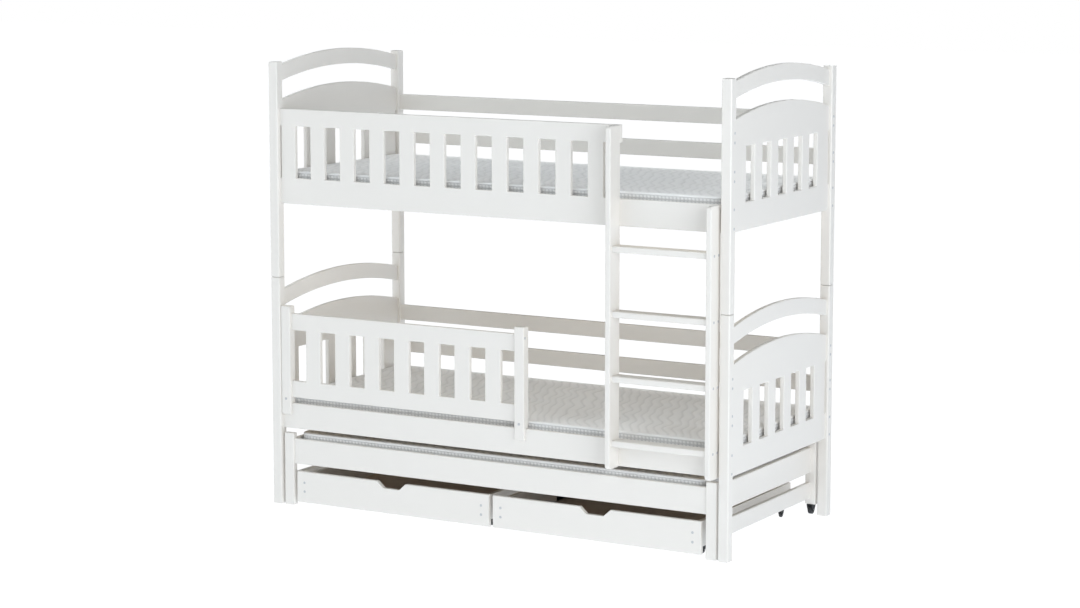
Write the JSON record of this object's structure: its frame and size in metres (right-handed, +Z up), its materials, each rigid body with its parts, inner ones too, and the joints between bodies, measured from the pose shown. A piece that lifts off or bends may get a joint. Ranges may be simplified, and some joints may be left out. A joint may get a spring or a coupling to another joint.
{
  "type": "bunk bed with trundle",
  "caption": "Bunk bed with arched slotted ends, guard rails and a ladder, over a trundle bed on wheels and drawers on casters.",
  "frame": {"origin": "on the floor, under the middle of the bed's outer box with its ladder", "axes": "+X along the bed to the ladder's end, +Y from the ladder side to the wall side, +Z up"},
  "size_m": [1.9816, 0.955, 1.76],
  "materials": {
    "white_lacquer": "satin white lacquer",
    "bare_pine": "planed, unfinished",
    "hardboard": "smooth brown sheet",
    "mattress_fabric": "quilted knit",
    "cap_plastic": "matt",
    "caster_plastic": "matt black",
    "wheel_plastic": "worn gloss black"
  },
  "bodies": {
    "frame": {"left_front_post_lower": "white_lacquer", "left_front_post_upper": "white_lacquer", "left_back_post_lower": "white_lacquer", "left_back_post_upper": "white_lacquer", "right_front_post_lower": "white_lacquer", "right_front_post_upper": "white_lacquer", "right_back_post_lower": "white_lacquer", "right_back_post_upper": "white_lacquer", "post_dowels": "bare_pine", "lower_left_end_panel": "white_lacquer", "lower_left_arch_rail": "white_lacquer", "lower_right_end_panel": "white_lacquer", "lower_right_arch_rail": "white_lacquer", "upper_left_end_panel": "white_lacquer", "upper_left_arch_rail": "white_lacquer", "upper_right_end_panel": "white_lacquer", "upper_right_arch_rail": "white_lacquer", "lower_front_rail": "white_lacquer", "lower_back_rail": "white_lacquer", "upper_back_rail": "white_lacquer", "lower_back_planks": "white_lacquer", "upper_back_planks": "white_lacquer", "upper_guard_board": "white_lacquer", "lower_guard_panel": "white_lacquer", "lower_guard_left_post": "white_lacquer", "lower_guard_right_post": "white_lacquer", "ladder_left_stile": "white_lacquer", "ladder_right_stile": "white_lacquer", "ladder_rungs": "white_lacquer", "slat_ledgers": "bare_pine", "lower_slats": "bare_pine", "upper_slats": "bare_pine", "lower_mattress": "mattress_fabric", "upper_mattress": "mattress_fabric", "frame_screw_caps": "cap_plastic"},
    "trundle": {"trundle_front_legs": "white_lacquer", "trundle_back_legs": "white_lacquer", "trundle_front_rail": "white_lacquer", "trundle_back_rail": "white_lacquer", "trundle_end_boards": "white_lacquer", "trundle_ledgers": "bare_pine", "trundle_slats": "bare_pine", "trundle_mattress": "mattress_fabric", "trundle_caster_forks": "caster_plastic"},
    "trundle_wheel_pair": {"trundle_wheels": "wheel_plastic"},
    "left_drawer": {"left_drawer_front": "white_lacquer", "left_drawer_box": "white_lacquer", "left_drawer_floor": "hardboard", "left_drawer_caster_forks": "caster_plastic", "left_drawer_screw_caps": "cap_plastic"},
    "left_drawer_front_wheel_pair": {"left_drawer_front_wheels": "wheel_plastic"},
    "left_drawer_back_wheel_pair": {"left_drawer_back_wheels": "wheel_plastic"},
    "right_drawer": {"right_drawer_front": "white_lacquer", "right_drawer_box": "white_lacquer", "right_drawer_floor": "hardboard", "right_drawer_caster_forks": "caster_plastic", "right_drawer_screw_caps": "cap_plastic"},
    "right_drawer_front_wheel_pair": {"right_drawer_front_wheels": "wheel_plastic"},
    "right_drawer_back_wheel_pair": {"right_drawer_back_wheels": "wheel_plastic"}
  },
  "joints": [
    {"name": "trundle_slide", "type": "slide", "parent": "frame", "child": "trundle", "axis": [0, -1, 0], "range_m": [0, 0.8]},
    {"name": "trundle_wheels_spin", "type": "hinge", "parent": "trundle", "child": "trundle_wheel_pair", "pos_m": [0, 0.4535, 0.0175], "axis": [1, 0, 0], "continuous": true},
    {"name": "left_drawer_slide", "type": "slide", "parent": "frame", "child": "left_drawer", "axis": [0, -1, 0], "range_m": [0, 0.7]},
    {"name": "left_drawer_front_wheels_spin", "type": "hinge", "parent": "left_drawer", "child": "left_drawer_front_wheel_pair", "pos_m": [0, -0.3265, 0.0125], "axis": [1, 0, 0], "continuous": true},
    {"name": "left_drawer_back_wheels_spin", "type": "hinge", "parent": "left_drawer", "child": "left_drawer_back_wheel_pair", "pos_m": [0, 0.3415, 0.0125], "axis": [1, 0, 0], "continuous": true},
    {"name": "right_drawer_slide", "type": "slide", "parent": "frame", "child": "right_drawer", "axis": [0, -1, 0], "range_m": [0, 0.7]},
    {"name": "right_drawer_front_wheels_spin", "type": "hinge", "parent": "right_drawer", "child": "right_drawer_front_wheel_pair", "pos_m": [0, -0.3265, 0.0125], "axis": [1, 0, 0], "continuous": true},
    {"name": "right_drawer_back_wheels_spin", "type": "hinge", "parent": "right_drawer", "child": "right_drawer_back_wheel_pair", "pos_m": [0, 0.3415, 0.0125], "axis": [1, 0, 0], "continuous": true}
  ]
}
